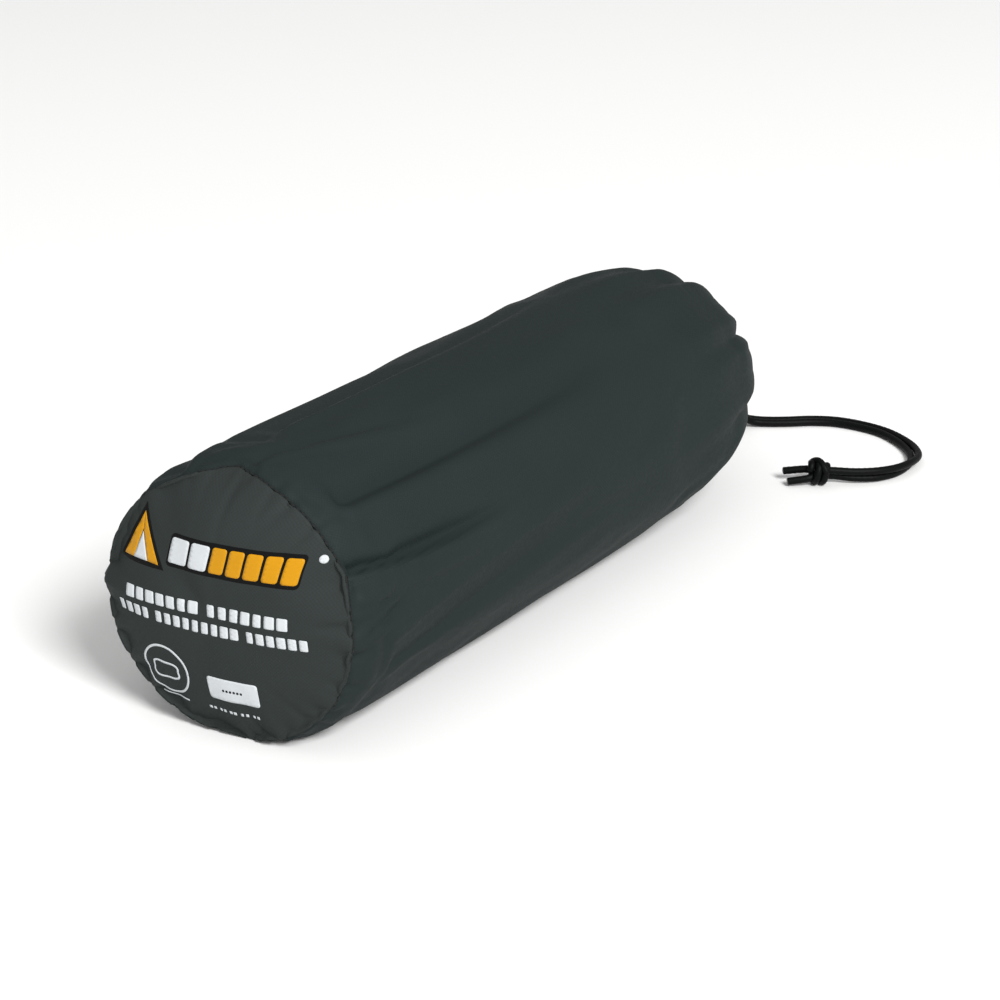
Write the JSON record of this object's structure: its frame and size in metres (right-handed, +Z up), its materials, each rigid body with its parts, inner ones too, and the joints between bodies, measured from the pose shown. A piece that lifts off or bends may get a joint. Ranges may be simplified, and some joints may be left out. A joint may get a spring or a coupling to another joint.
{
  "type": "packed camp pillow",
  "caption": "Self-inflating camp pillow, deflated and rolled, packed in a round drawstring sack with a drawcord, cord lock and knotted cord ends.",
  "frame": {"origin": "on the surface the sack lies on, under the middle of the sack without its free cord", "axes": "+X along the sack from the printed base panel to the drawn mouth, +Z up, the flat of the underside at Z 0"},
  "size_m": [0.5328, 0.1887, 0.136],
  "materials": {
    "sack_fabric": "matte woven polyester, charcoal",
    "sack_base_fabric": "matte woven polyester, printed",
    "binding_tape": "matte tape",
    "cord": "braided, black",
    "lock_plastic": "satin moulded nylon",
    "button_plastic": "satin moulded nylon",
    "spring_steel": "bright wire",
    "pillow_top_fabric": "brushed polyester",
    "pillow_under_fabric": "coated polyester",
    "foam": "open-cell foam",
    "valve_plastic": "satin moulded",
    "seal_rubber": "matte"
  },
  "bodies": {
    "packed_sack": {"sack_body": "sack_fabric", "sack_base_panel": "sack_base_fabric", "base_seam_binding": "binding_tape", "mouth_casing": "sack_fabric", "drawcord_ring": "cord", "drawcord_strand_a": "cord", "drawcord_strand_b": "cord", "drawcord_knot": "cord", "drawcord_end_a": "cord", "drawcord_end_b": "cord", "pillow_top_shell": "pillow_top_fabric", "pillow_under_shell": "pillow_under_fabric", "foam_core": "foam", "valve_body": "valve_plastic", "valve_seal": "seal_rubber"},
    "cord_lock": {"cord_lock_barrel": "lock_plastic", "cord_lock_spring": "spring_steel"},
    "lock_button": {"cord_lock_plunger": "button_plastic"},
    "valve_cap": {"valve_cap": "valve_plastic"}
  },
  "joints": [
    {"name": "cord_lock_slide", "type": "slide", "parent": "packed_sack", "child": "cord_lock", "axis": [0.7431, 0, -0.6691], "range_m": [0, 0.034]},
    {"name": "lock_button_press", "type": "slide", "parent": "cord_lock", "child": "lock_button", "axis": [0, -1, 0], "range_m": [0, 0.004], "stiffness_N_per_m": 300, "springref_m": -0.004, "deforming": ["cord_lock_spring"]},
    {"name": "valve_cap_turn", "type": "hinge", "parent": "packed_sack", "child": "valve_cap", "pos_m": [0.1547, -0.04852, 0.05017], "axis": [1, 0, 0], "range_deg": [0, 270]}
  ]
}
